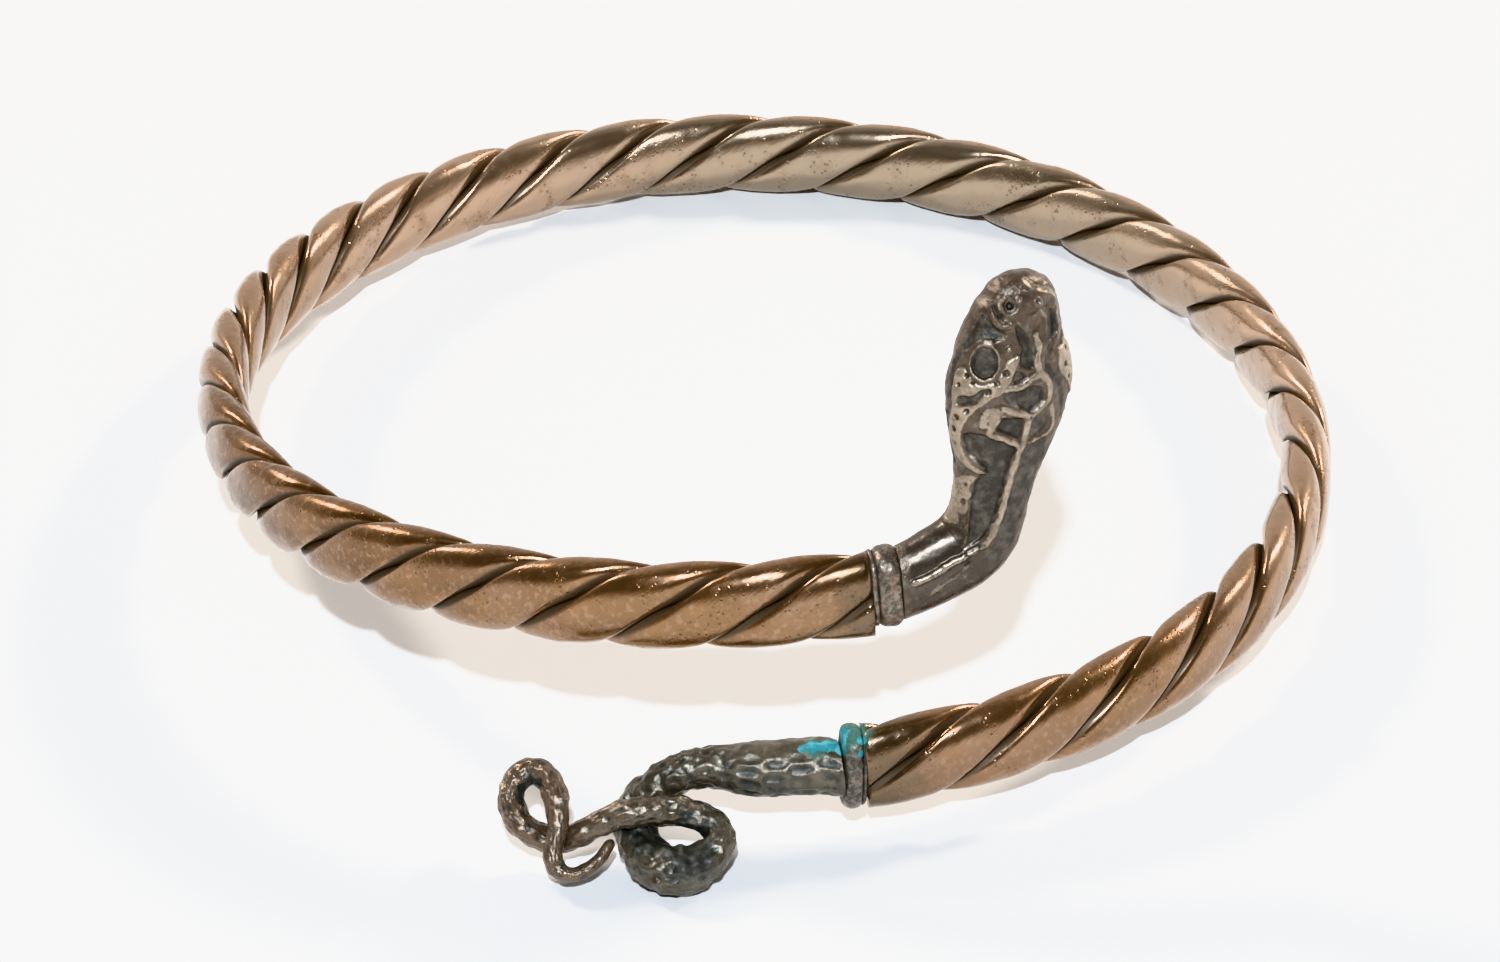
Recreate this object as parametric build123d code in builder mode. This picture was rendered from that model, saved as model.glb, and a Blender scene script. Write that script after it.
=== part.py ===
# Snake bracelet: one open turn of three twisted, flattened copper strands. A cast head
# stands up at one end and a cast tail curls at the other, each behind its own collar.
#
# Frame: +Z up, the floor at Z = 0, the wrist's axis up through the origin, and both ends
# of the band towards -Y. Sizes are in millimetres and angles in degrees, counted from +X.

import os
from collections import namedtuple
from math import cos, degrees, hypot, pi, radians, sin

from build123d import *

# Ring: the line through the middle of the band, from the tail end round to the head end
ring_radius = 33.0  # wrist's axis to the middle of the band, on average
ring_opening = 2.6  # how much further out the tail end lies than the head end
ring_climb = 10.0  # how much the band climbs in its one turn
tail_angle = -80.0  # where the band starts, at the tail collar
head_angle = 281.0  # where it ends, at the head collar
lean_height = 3.45  # how far the ring's raised side stands over its middle
lean_angle = -73.0  # the side that is raised
oval_depth = 0.87  # how far the ring is out of round
oval_angle = 114.0  # where it is widest
kink_depth = 0.20  # a slight three-cornered bend left by shaping by hand
kink_angle = 72.0
bow_height = 0.23  # how far the ring's front and back bow up out of its plane

# Band: the section that the three strands share
band_height = 5.3  # along the wrist
band_depth = 3.1  # from the inside of the ring to the outside
band_squareness = 2.4  # 2 is an ellipse, and more is flatter faces
groove_depth = 0.55  # share of the section's reach lost where two strands meet
groove_sharpness = 4.0
groove_narrowing = 0.2  # how much closer to its grooves a strand stays full
strand_gap = 0.12  # clearance between neighbouring strands

# Collars: a rolled rim between the band and each cast end
collar_rounding = 0.3
head_collar_length = 1.7
head_collar_height = 4.8
head_collar_depth = 3.2
head_collar_lift = 0.25  # how far it is soldered above the band's middle
tail_collar_length = 1.6
tail_collar_height = 5.4
tail_collar_depth = 3.4

# Head: the neck leaves its collar along the band and bends up to stand along the wrist
neck_run = 7.2  # along the band, from the collar to the line of the nose
head_rise = 18.0  # along the wrist, from the collar's middle to the nose
head_width = 7.1
head_depth = 4.5  # back of the head to its flat underside
head_flatness = 0.9  # how far the underside bulges, where 1 is as far as the back
underside_squareness = 0.7  # 1 is an ellipse, and less is flatter
eye_diameter = 1.5
nostril_diameter = 0.7
relief_height = 0.2  # how far the highest cast ridges stand out of the skin

# Tail: the body leaves its collar along the band, then turns two loops on a slope
# that comes down to the floor in front of the ring
tail_thickness = 3.2  # across the body near its collar
tail_reach = 19.2  # collar to the far side of the second loop
tail_sweep = 5.3  # how far forward the slope comes before it meets the floor
tail_gap = 0.12  # clearance where one stretch crosses another
floor_gap = 0.01  # how nearly the curl touches the floor
scale_relief = 0.07  # how far the cast scales stand out

# Turns of twist reached after each eighth of the way round, left-handed
twist_turns = [-0.08, 1.46, 2.96, 4.42, 5.94, 7.49, 9.07, 10.54, 12.02]

# Middle line and section of the head: shares of neck_run, head_rise, head_width, head_depth
HeadRow = namedtuple("HeadRow", "run rise width depth")
head_rows = [
    (0.00, 0.000, 0.60, 0.64),
    (0.15, 0.018, 0.61, 0.66),
    (0.30, 0.040, 0.62, 0.70),
    (0.51, 0.076, 0.64, 0.74),
    (0.64, 0.125, 0.64, 0.76),
    (0.71, 0.193, 0.61, 0.76),
    (0.765, 0.280, 0.63, 0.76),
    (0.81, 0.365, 0.71, 0.82),
    (0.845, 0.437, 0.82, 0.90),
    (0.875, 0.505, 0.92, 0.97),
    (0.90, 0.567, 0.97, 1.00),
    (0.92, 0.644, 1.00, 1.00),
    (0.93, 0.705, 0.94, 0.97),
    (0.94, 0.767, 0.86, 0.90),
    (0.975, 0.844, 0.76, 0.80),
    (1.00, 0.915, 0.63, 0.68),
    (1.00, 0.962, 0.47, 0.54),
    (1.00, 0.987, 0.30, 0.38),
    (1.00, 1.000, 0.12, 0.18),
]

# Cast relief of the head. Places are rows of head_rows, and turns are degrees round the
# section from the middle of the back, less than 0 on the side of the eye that shows
Mark = namedtuple("Mark", "place turn size height")
head_marks = [
    (12.9, 46, 1.9, 0.5),
    (12.9, 46, eye_diameter, -2.2),
    (15.2, 34, 1.3, 0.6),
    (15.2, 34, nostril_diameter, -2.4),
    (14.2, 58, 1.5, -0.9),
]
Line = namedtuple("Line", "width height chain")
head_lines = [
    (0.7, 1.0, [(0.5, -8), (3.1, -13), (4.7, -10), (5.5, 0), (8.2, 3), (9.0, 4), (9.9, 3)]),
    (0.6, 0.9, [(9.9, 3), (10.3, 16), (11.3, 22), (12.0, 10), (14.0, 18)]),
    (0.6, 0.9, [(12.0, 10), (11.3, -12), (10.0, -25), (8.9, -34), (8.3, -2)]),
    (0.7, 0.9, [(13.2, -14), (11.7, -24), (10.6, -48), (9.3, -78), (7.9, -80), (7.2, -40)]),
    (0.7, 0.9, [(12.6, 44), (11.4, 50), (10.4, 62), (9.3, 78), (7.9, 80), (7.2, 50)]),
    (0.5, -0.9, [(15.6, -90), (10.5, -94), (7.0, -102)]),
    (0.5, -0.9, [(15.6, 90), (10.5, 94), (7.0, 102)]),
]
head_plates = [(10.65, 4, 1.5, -1), (9.35, -12, 1.4, -1), (9.5, 20, 1.4, -1)]

# Middle line of the tail: shares of tail_reach and of the slope down to the floor, then
# which stretch lies over (+1) or under (-1) another, and the share of tail_thickness
TailRow = namedtuple("TailRow", "along down lap thick")
tail_rows = [
    (0.000, 0.00, 0.0, 1.02),
    (0.053, -0.03, 0.0, 1.00),
    (0.141, -0.02, 0.0, 0.98),
    (0.258, -0.01, 0.0, 0.96),
    (0.361, -0.03, 0.0, 0.76),
    (0.449, 0.00, 0.0, 0.70),
    (0.531, 0.11, -0.4, 0.70),
    (0.589, 0.23, -1.0, 0.70),
    (0.604, 0.42, -1.0, 0.72),
    (0.578, 0.71, -0.4, 0.78),
    (0.522, 0.90, 0.0, 0.84),
    (0.449, 0.91, 0.0, 0.83),
    (0.387, 0.80, 0.0, 0.67),
    (0.355, 0.65, 0.0, 0.58),
    (0.381, 0.49, 0.0, 0.54),
    (0.455, 0.40, 0.3, 0.53),
    (0.537, 0.41, 0.8, 0.52),
    (0.625, 0.44, 1.0, 0.51),
    (0.698, 0.49, 0.5, 0.46),
    (0.771, 0.57, -0.3, 0.44),
    (0.821, 0.59, -1.0, 0.44),
    (0.868, 0.58, -0.7, 0.47),
    (0.930, 0.49, 0.0, 0.47),
    (0.965, 0.28, 0.0, 0.46),
    (0.953, 0.09, 0.0, 0.46),
    (0.903, -0.02, 0.0, 0.47),
    (0.853, 0.09, 0.5, 0.47),
    (0.830, 0.30, 0.9, 0.44),
    (0.827, 0.56, 1.0, 0.36),
    (0.842, 0.77, 0.5, 0.35),
    (0.827, 0.90, 0.0, 0.33),
    (0.789, 0.95, 0.0, 0.31),
    (0.748, 0.93, 0.0, 0.26),
    (0.704, 0.84, 0.0, 0.22),
    (0.672, 0.73, 0.0, 0.18),
]

root_rows = 2  # rows over which a cast end turns from its collar into its own path

# How finely each piece is faceted
strand_steps_per_turn = 12
strand_points = 5  # across the outside of a strand
head_points = 36
head_crowding = 0.28  # how much closer these points lie on the back than underneath
head_steps_per_row = 4
tail_points = 12
tail_steps_per_row = 4
near_place = 0.02  # share of a row over which a path's direction is taken
dimple_steepness = 4


def through(rows, place):
    """Smooth curve through evenly spaced rows: the values at a place counted in rows."""
    last = len(rows) - 1
    row = min(int(place), last - 1)
    part = place - row
    before = [2 * a - b for a, b in zip(rows[0], rows[1])] if row == 0 else rows[row - 1]
    after = [2 * a - b for a, b in zip(rows[last], rows[last - 1])]
    if row < last - 1:
        after = rows[row + 2]
    values = []
    for a, b, c, d in zip(before, rows[row], rows[row + 1], after):
        bend = (2 * a - 5 * b + 4 * c - d) * part**2 + (3 * b - a - 3 * c + d) * part**3
        values.append(0.5 * (2 * b + (c - a) * part + bend))
    return values


def flatten(vector, normal):
    """The unit vector nearest to a vector among those square to a unit normal."""
    return (vector - normal * vector.dot(normal)).normalized()


def leave_seat(seat_way, path, place):
    """Direction that a section faces: square to the collar at the root, then along the path."""
    share = min(place / root_rows, 1)
    return (seat_way * (1 - share) + path.normalized() * share).normalized()


def skin(centres, rings):
    """Closed solid of triangles over rings of points, with flat ends. Each diagonal runs
    outwards from one ring to the next, so that neighbouring strands get matching sides."""
    faces = [Face(Wire.make_polygon(rings[0])), Face(Wire.make_polygon(rings[-1]))]
    count = len(rings[0])
    for step in range(len(rings) - 1):
        here, there = rings[step], rings[step + 1]
        for index in range(count):
            follow = (index + 1) % count
            a, b, c, d = here[index], here[follow], there[follow], there[index]
            near = (a - centres[step]).length
            far = (b - centres[step]).length
            halves = [(a, b, c), (a, c, d)] if near < far else [(a, b, d), (b, c, d)]
            faces.extend(Face(Wire.make_polygon(half)) for half in halves)
    return Solid(Shell(faces))


# The ring

ring_span = head_angle - tail_angle
raised_side = Vector(cos(radians(lean_angle)), sin(radians(lean_angle)), 0)
wrist_axis = (Vector(0, 0, 1) - raised_side * (lean_height / ring_radius)).normalized()


def ring_point(angle):
    """Middle of the band at an angle, before the ring is lifted to stand on the floor."""
    share = (angle - tail_angle) / ring_span - 0.5
    radius = ring_radius - ring_opening * share
    radius += oval_depth * cos(radians(2 * (angle - oval_angle)))
    radius += kink_depth * cos(radians(3 * (angle - kink_angle)))
    height = ring_climb * share + lean_height * cos(radians(angle - lean_angle))
    height -= bow_height * cos(radians(2 * angle))
    return Vector(radius * cos(radians(angle)), radius * sin(radians(angle)), height)


def ring_frame(angle):
    """Middle, direction along the band, outward direction and upward direction."""
    along = (ring_point(angle + 0.5) - ring_point(angle - 0.5)).normalized()
    radial = Vector(cos(radians(angle)), sin(radians(angle)), 0)
    outward = flatten(flatten(radial, wrist_axis), along)
    return ring_point(angle), along, outward, outward.cross(along)


def turns_at(angle):
    place = (angle - tail_angle) / ring_span * (len(twist_turns) - 1)
    return through([(turns,) for turns in twist_turns], place)[0]


# The strands

sector = 120.0  # each of the three strands fills a third of the section


def band_reach(turn):
    """Point of the band's smooth section, as (outward, upward), at an angle of the twist."""
    out, up = cos(radians(turn)), sin(radians(turn))
    swell = (abs(out) ** band_squareness + abs(up) ** band_squareness) ** (-1 / band_squareness)
    return band_depth / 2 * swell * out, band_height / 2 * swell * up


def strand_ring(angle, number):
    """Section of one strand: rounded outside, two flat sides and a corner at the core."""
    middle, along, outward, upward = ring_frame(angle)
    turn = 360 * turns_at(angle) + sector * number + sector / 2
    core_out, core_up = band_reach(turn)
    core = (outward * core_out + upward * core_up).normalized()
    points = [middle + core * strand_gap]
    for side in (-1, 1):
        out, up = band_reach(turn + side * sector / 2)
        edge = outward * out + upward * up
        inward = flatten(core, edge.normalized())
        corner = middle + edge * (1 - groove_depth) + inward * (strand_gap / 2)
        if side == -1:
            points.append(corner)
            for index in range(strand_points):
                share = 2 * (index + 1) / (strand_points + 1) - 1
                share *= 1 + groove_narrowing * (1 - abs(share))
                drop = 1 - groove_depth * abs(share) ** groove_sharpness
                out, up = band_reach(turn + share * sector / 2)
                points.append(middle + (outward * out + upward * up) * drop)
        else:
            points.append(corner)
    return points


strand_steps = round((twist_turns[-1] - twist_turns[0]) * strand_steps_per_turn)
strand_angles = [tail_angle + ring_span * step / strand_steps for step in range(strand_steps + 1)]
strand_centres = [ring_point(angle) for angle in strand_angles]
strand_rings = [[strand_ring(angle, number) for angle in strand_angles] for number in range(3)]

# The ring stands on its lowest point
lift = Vector(0, 0, -min(point.Z for rings in strand_rings for ring in rings for point in ring))


def lifted(rings):
    return [[point + lift for point in ring] for ring in rings]


strand_centres = [point + lift for point in strand_centres]

with BuildPart() as strand_a:
    add(skin(strand_centres, lifted(strand_rings[0])))
with BuildPart() as strand_b:
    add(skin(strand_centres, lifted(strand_rings[1])))
with BuildPart() as strand_c:
    add(skin(strand_centres, lifted(strand_rings[2])))

# The collars

head_middle, head_along, _, head_upward = ring_frame(head_angle)
head_seat = head_middle + lift + head_upward * head_collar_lift
head_end = Plane(origin=head_seat, x_dir=head_upward, z_dir=head_along)

with BuildPart() as head_collar:
    with BuildSketch(head_end):
        SlotOverall(head_collar_height, head_collar_depth)
    extrude(amount=head_collar_length)
    rims = head_collar.faces().sort_by(Axis(head_seat, head_along))
    fillet(rims[0].edges() + rims[-1].edges(), collar_rounding)

tail_middle, tail_along, _, tail_upward = ring_frame(tail_angle)
tail_seat = tail_middle + lift
tail_end = Plane(origin=tail_seat, x_dir=tail_upward, z_dir=-tail_along)

with BuildPart() as tail_collar:
    with BuildSketch(tail_end):
        SlotOverall(tail_collar_height, tail_collar_depth)
    extrude(amount=tail_collar_length)
    rims = tail_collar.faces().sort_by(Axis(tail_seat, tail_along))
    fillet(rims[0].edges() + rims[-1].edges(), collar_rounding)

# The head

neck_root = head_seat + head_along * head_collar_length
neck_radius = hypot(neck_root.X, neck_root.Y)
wrist_line = Axis((0, 0, 0), wrist_axis)


# From one row of the head's table to the next, where the head stands along the wrist
upright_rows = [row for row in head_rows if row[1] > 0.1]
row_length = head_rise / len(upright_rows)


def head_point(run, rise):
    """A point that many millimetres round the ring and up the wrist from the neck's root."""
    return neck_root.rotate(wrist_line, degrees(run / neck_radius)) + wrist_axis * rise


def head_place(place):
    row = HeadRow(*through(head_rows, place))
    middle = head_point(row.run * neck_run, row.rise * head_rise)
    return middle, row.width * head_width, row.depth * head_depth


def head_frame(place):
    """Middle, direction towards the nose, back-of-head direction and sideways direction."""
    middle = head_place(place)[0]
    ahead = head_place(min(place + near_place, len(head_rows) - 1))[0]
    behind = head_place(max(place - near_place, 0))[0]
    along = leave_seat(head_along, ahead - behind, place)
    outward = flatten(flatten(middle - lift, wrist_axis), along)
    return middle, along, outward, along.cross(outward)


def dimple(distance, radius):
    """1 at the middle of a round mark, falling to 0 at its rim and beyond."""
    return 1 - (distance / radius) ** dimple_steepness if distance < radius else 0.0


def stroke_distance(place, turn, chain, across):
    """Distance from a point of the head's skin to a chain of points on it."""
    nearest = head_width
    for (place_a, turn_a), (place_b, turn_b) in zip(chain, chain[1:]):
        step = ((place_b - place_a) * row_length, (turn_b - turn_a) * across)
        gone = ((place - place_a) * row_length, (turn - turn_a) * across)
        share = (gone[0] * step[0] + gone[1] * step[1]) / (step[0] ** 2 + step[1] ** 2)
        share = min(max(share, 0), 1)
        nearest = min(nearest, hypot(gone[0] - share * step[0], gone[1] - share * step[1]))
    return nearest


def head_relief(place, turn, width, depth):
    """How far the cast surface stands out of the smooth head, less where it is hollow."""
    across = radians(width + depth) / 4
    height = 0.0
    mirrored = [(row[0], -row[1], row[2], row[3]) for row in head_marks]
    for mark in map(Mark._make, head_marks + mirrored + head_plates):
        off = hypot((place - mark.place) * row_length, (turn - mark.turn) * across)
        height += relief_height * mark.height * dimple(off, mark.size / 2)
    for line in map(Line._make, head_lines):
        off = stroke_distance(place, turn, line.chain, across)
        height += relief_height * line.height * dimple(off, line.width / 2)
    return height


def head_ring(place):
    middle, along, outward, sideways = head_frame(place)
    width, depth = head_place(place)[1:]
    points = []
    for index in range(head_points):
        share = 2 * index / head_points - 1
        turn = 180 * share * (1 - head_crowding * (1 - share**2))
        out, side = cos(radians(turn)), sin(radians(turn))
        if out < 0:
            out = -((-out) ** underside_squareness) * head_flatness
        normal = (outward * out / depth + sideways * side / width).normalized()
        raised = normal * head_relief(place, turn, width, depth)
        points.append(middle + (outward * out * depth + sideways * side * width) / 2 + raised)
    return points


head_steps = (len(head_rows) - 1) * head_steps_per_row
head_places = [step / head_steps_per_row for step in range(head_steps + 1)]
head_centres = [head_place(place)[0] for place in head_places]

with BuildPart() as head:
    add(skin(head_centres, [head_ring(place) for place in head_places]))

# The tail

tail_root = tail_seat - tail_along * tail_collar_length
tail_lowest = max(row[1] for row in tail_rows)
tail_steps = (len(tail_rows) - 1) * tail_steps_per_row
tail_places = [step / tail_steps_per_row for step in range(tail_steps + 1)]


def tail_place(place, fall):
    """Middle of the tail and its thickness at a row, on a slope that falls that far."""
    row = TailRow(*through(tail_rows, place))
    thickness = row.thick * tail_thickness
    middle = tail_root + Vector(-row.along * tail_reach, -row.down * tail_sweep, -row.down * fall)
    over = Vector(0, -fall, tail_sweep).normalized()
    return middle + over * row.lap * (thickness + tail_gap) / 2, thickness


def tail_ring(number, fall):
    place = tail_places[number]
    middle, thickness = tail_place(place, fall)
    ahead = tail_place(min(place + near_place, len(tail_rows) - 1), fall)[0]
    behind = tail_place(max(place - near_place, 0), fall)[0]
    along = leave_seat(-tail_along, ahead - behind, place)
    over = flatten(Vector(0, -fall, tail_sweep), along)
    beside = along.cross(over)
    points = []
    for index in range(tail_points):
        turn = 2 * pi * index / tail_points
        scale = scale_relief * thickness / tail_thickness
        radius = thickness / 2 + (scale if (index + number) % 2 and number else -scale)
        points.append(middle + over * radius * cos(turn) + beside * radius * sin(turn))
    return points


# The slope falls until the curl just touches the floor
tail_fall = (tail_root.Z - tail_thickness / 2) / tail_lowest
for settling in range(3):
    tail_rings = [tail_ring(number, tail_fall) for number in range(tail_steps + 1)]
    tail_fall += (min(point.Z for ring in tail_rings for point in ring) - floor_gap) / tail_lowest
tail_centres = [tail_place(place, tail_fall)[0] for place in tail_places]

with BuildPart() as tail:
    add(skin(tail_centres, tail_rings))

# The files

strand_a.part.label = "strand_a"
strand_b.part.label = "strand_b"
strand_c.part.label = "strand_c"
head_collar.part.label = "head_collar"
tail_collar.part.label = "tail_collar"
head.part.label = "head"
tail.part.label = "tail"

os.makedirs("parts", exist_ok=True)
export_step(strand_a.part, "parts/strand_a.step")
export_step(strand_b.part, "parts/strand_b.step")
export_step(strand_c.part, "parts/strand_c.step")
export_step(head_collar.part, "parts/head_collar.step")
export_step(tail_collar.part, "parts/tail_collar.step")
export_step(head.part, "parts/head.step")
export_step(tail.part, "parts/tail.step")
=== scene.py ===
# %% [markdown]
# # A snake bracelet of twisted copper
#
# The bracelet is an open ring of three flattened copper strands, twisted round each other.
# A cast snake's head is soldered to one end and a cast, curled tail to the other, each
# behind a collar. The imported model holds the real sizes, and this lesson gives each piece
# its fine form and its finish.

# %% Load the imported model
from collections import namedtuple
from math import atan2, cos, pi, radians, sin

import bmesh
import bpy
import numpy as np
from mathutils import Matrix, Vector, noise


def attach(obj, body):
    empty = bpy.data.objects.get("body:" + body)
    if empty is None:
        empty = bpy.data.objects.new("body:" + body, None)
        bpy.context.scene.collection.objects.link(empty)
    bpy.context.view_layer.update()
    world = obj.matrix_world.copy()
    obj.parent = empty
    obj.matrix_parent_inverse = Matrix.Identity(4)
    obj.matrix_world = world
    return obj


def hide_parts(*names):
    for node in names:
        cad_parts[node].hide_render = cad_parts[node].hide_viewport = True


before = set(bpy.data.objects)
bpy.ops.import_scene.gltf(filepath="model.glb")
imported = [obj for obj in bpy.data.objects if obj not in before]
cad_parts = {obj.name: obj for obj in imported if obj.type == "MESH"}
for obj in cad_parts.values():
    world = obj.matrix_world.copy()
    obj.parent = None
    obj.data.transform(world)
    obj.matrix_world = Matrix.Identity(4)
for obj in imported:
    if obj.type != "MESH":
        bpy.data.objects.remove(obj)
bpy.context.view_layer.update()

MM = 0.001  # lengths below are written in millimetres and used in metres

# %% [markdown]
# ## Camera
#
# The photograph was taken from a little above the table with a long lens, so the ring
# looks hardly wider in front than behind. A camera is a lens and a place: the place comes
# from how high it looks down and how far away it stands, and the lens from how many
# pixels one radian of view takes.

# %% Camera
def add_object(name, data):
    """A new object in the scene that shows this data."""
    made = bpy.data.objects.new(name, data)
    bpy.context.scene.collection.objects.link(made)
    return made


view_elevation = radians(34.74)
view_distance = 400 * MM
view_roll = radians(0.85)
view_target = Vector((-0.35, -0.69, 0.69)) * MM
pixels_per_radian = 6590
photo_width = 1500

camera_data = bpy.data.cameras.new("camera")
camera_data.sensor_width = 36
camera_data.lens = camera_data.sensor_width * pixels_per_radian / photo_width
camera_data.clip_start = view_distance / 20
camera = add_object("camera", camera_data)
away = Vector((0, -cos(view_elevation), sin(view_elevation)))
turned = Matrix.Rotation(pi / 2 - view_elevation, 4, "X") @ Matrix.Rotation(-view_roll, 4, "Z")
camera.matrix_world = Matrix.Translation(view_target + away * view_distance) @ turned
bpy.context.scene.camera = camera
print("lens", round(camera_data.lens, 1), "mm, camera at", [round(v, 3) for v in camera.location])

# %% [markdown]
# ## Shader maths
#
# A finish is a graph of nodes. Written by hand it is a long list of links, so one small
# class wraps a socket and turns +, -, * and / into Math nodes. One method makes every
# other node: it takes the node's type, what goes into its sockets and its settings.

# %% A socket that can be used in sums
class Value:
    """The output of a node in a finish. Sums of values add Math nodes."""

    def __init__(self, finish, socket):
        self.finish = finish
        self.socket = socket

    def _math(self, operation, first, second):
        return self.finish.node("ShaderNodeMath", {0: first, 1: second}, operation=operation)

    def __add__(self, other):
        return self._math("ADD", self, other)

    def __sub__(self, other):
        return self._math("SUBTRACT", self, other)

    def __rsub__(self, other):
        return self._math("SUBTRACT", other, self)

    def __mul__(self, other):
        return self._math("MULTIPLY", self, other)

    def __truediv__(self, other):
        return self._math("DIVIDE", self, other)

    __radd__ = __add__
    __rmul__ = __mul__


# %% A graph and its one way of making nodes
class Graph:
    """A tree of nodes, of a finish or of the room."""

    def __init__(self, tree):
        self.tree = tree
        self.tree.nodes.clear()

    def node(self, kind, inputs=None, output=0, **settings):
        """Makes a node: its settings first, then the values or links of its sockets."""
        made = self.tree.nodes.new(kind)
        for name, value in settings.items():
            setattr(made, name, value)
        for name, value in (inputs or {}).items():
            if isinstance(value, Value):
                self.tree.links.new(value.socket, made.inputs[name])
            elif made.inputs[name].type == "RGBA":
                made.inputs[name].default_value = (*value, 1)
            else:
                made.inputs[name].default_value = value
        return Value(self, made.outputs[output]) if made.outputs else None

    def step(self, value, low, high):
        """0 below low, 1 above high and smooth between; the other way round if low > high."""
        turned = low > high
        inputs = {"Value": value, "From Min": min(low, high), "From Max": max(low, high)}
        inputs.update({"To Min": float(turned), "To Max": float(not turned)})
        return self.node("ShaderNodeMapRange", inputs, interpolation_type="SMOOTHSTEP")

    def blend(self, share, first, second):
        """From the first colour to the second as share goes from 0 to 1."""
        inputs = {0: share, 6: first, 7: second}
        return self.node("ShaderNodeMix", inputs, output=2, data_type="RGBA", clamp_factor=True)

    def layered(self, colour, layers):
        """Lays tints over a colour, one after another, each with its own share."""
        for share, tint in layers:
            colour = self.blend(share, colour, tint)
        return colour

    def split(self, vector, axis):
        """One of the three numbers of a vector."""
        return self.node("ShaderNodeSeparateXYZ", {"Vector": vector}, output=axis)


# %% A finish
class Finish(Graph):
    """A material whose patterns lie in the object's own space."""

    def __init__(self, name):
        self.material = bpy.data.materials.new(name)
        self.material.use_nodes = True
        super().__init__(self.material.node_tree)
        self.place = self.node("ShaderNodeTexCoord", output="Object")

    def attribute(self, name, output="Fac"):
        """What the mesh holds at each point: a number, or a vector with output Vector."""
        return self.node("ShaderNodeAttribute", output=output, attribute_name=name)

    def mottle(self, size, detail=3.0, roughness=0.55, place=None):
        """Cloudy noise whose patches are about that many millimetres across.

        A place of its own, such as an attribute, is in millimetres already."""
        scale = 1 if place else 1 / MM
        inputs = {"Vector": place or self.place, "Scale": scale / size, "Detail": detail}
        return self.node("ShaderNodeTexNoise", {**inputs, "Roughness": roughness})

    def stretched(self, vector, scale):
        """A vector with each of its numbers multiplied by its own scale."""
        return self.node("ShaderNodeVectorMath", {0: vector, 1: scale}, operation="MULTIPLY")

    def cells(self, size):
        """Distance from the middle of scattered cells of about that many millimetres."""
        inputs = {"Vector": self.place, "Scale": 1 / MM / size}
        return self.node("ShaderNodeTexVoronoi", inputs, output="Distance")

    def bump(self, height, distance, under=None):
        """A normal raised by height, at most that many millimetres."""
        inputs = {"Height": height, "Distance": distance * MM, "Strength": 1.0}
        if under:
            inputs["Normal"] = under
        return self.node("ShaderNodeBump", inputs)

    def surface(self, **inputs):
        """Ends the finish: one Principled shader, with underscores for spaces in names."""
        named = {name.replace("_", " "): value for name, value in inputs.items()}
        shader = self.node("ShaderNodeBsdfPrincipled", named)
        self.node("ShaderNodeOutputMaterial", {"Surface": shader})
        return self.material


def shaded(colour, share):
    """A colour made darker, or lighter with a share over 1."""
    return tuple(share * part for part in colour)


paper = Finish("paper").surface(Base_Color=(0.74, 0.74, 0.74), Roughness=0.9)
print("first finish:", paper.name, "with", len(paper.node_tree.nodes), "nodes")

# %% [markdown]
# ## Floor and light
#
# The bracelet lies on white paper. Polished metal shows what surrounds it, so the light is
# planned as surroundings: white paper below, a pale wall behind the ring, dim walls beside
# the camera, a grey ceiling, and a dark warm stretch over the camera, which darkens the
# upper half of the front strands. The shadows tell where the lamps stand: a small cool one
# over the camera throws the shadow that hides behind the band, and two larger warm ones
# behind the ring throw the wide pale rings.

# %% Floor
floor_size = 3.0
floor_mesh = bmesh.new()
bmesh.ops.create_grid(floor_mesh, x_segments=1, y_segments=1, size=floor_size / 2)
floor_data = bpy.data.meshes.new("floor")
floor_mesh.to_mesh(floor_data)
floor_mesh.free()
floor = add_object("floor", floor_data)
floor_data.materials.append(paper)
print("floor", floor_size, "m wide")

# %% The room round it
room_low = (0.95, 0.89, 0.83)  # paper beyond the floor, up to a little over the horizon
room_back = (0.92, 0.88, 0.85)
room_side = (0.28, 0.265, 0.25)
room_high = (0.32, 0.32, 0.325)
room_dim = (0.07, 0.058, 0.046)
room_seen = (1.40, 1.39, 1.37)  # what the camera sees past the floor; it lights nothing
dim_way = (0, -0.82, 0.57)  # from the bracelet to the dark stretch over the camera

world = bpy.data.worlds.new("room")
world.use_nodes = True
bpy.context.scene.world = world
room = Graph(world.node_tree)
way = room.node("ShaderNodeTexCoord", output="Generated")
facing = room.node("ShaderNodeVectorMath", {0: way, 1: dim_way}, output="Value",
                   operation="DOT_PRODUCT")
behind, height = room.split(way, "Y"), room.split(way, "Z")
colour = room.layered(room_side, [
    (room.step(behind, -0.05, 0.40), room_back),
    (room.step(height, 0.55, 0.90), room_high),
    (room.step(facing, 0.30, 0.68), room_dim),
])
colour = room.blend(room.step(height, -0.04, 0.24), room_low, colour)
lit = room.node("ShaderNodeBackground", {"Color": colour})
seen = room.node("ShaderNodeBackground", {"Color": room_seen})
looked_at = room.node("ShaderNodeLightPath", output="Is Camera Ray")
mixed = room.node("ShaderNodeMixShader", {0: looked_at, 1: lit, 2: seen})
room.node("ShaderNodeOutputWorld", {"Surface": mixed})
print("room of", len(world.node_tree.nodes), "nodes")

# %% Lamps
lamp_distance = 1.2
warm_light, cool_light = (1.0, 0.92, 0.83), (0.83, 0.91, 1.0)


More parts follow.
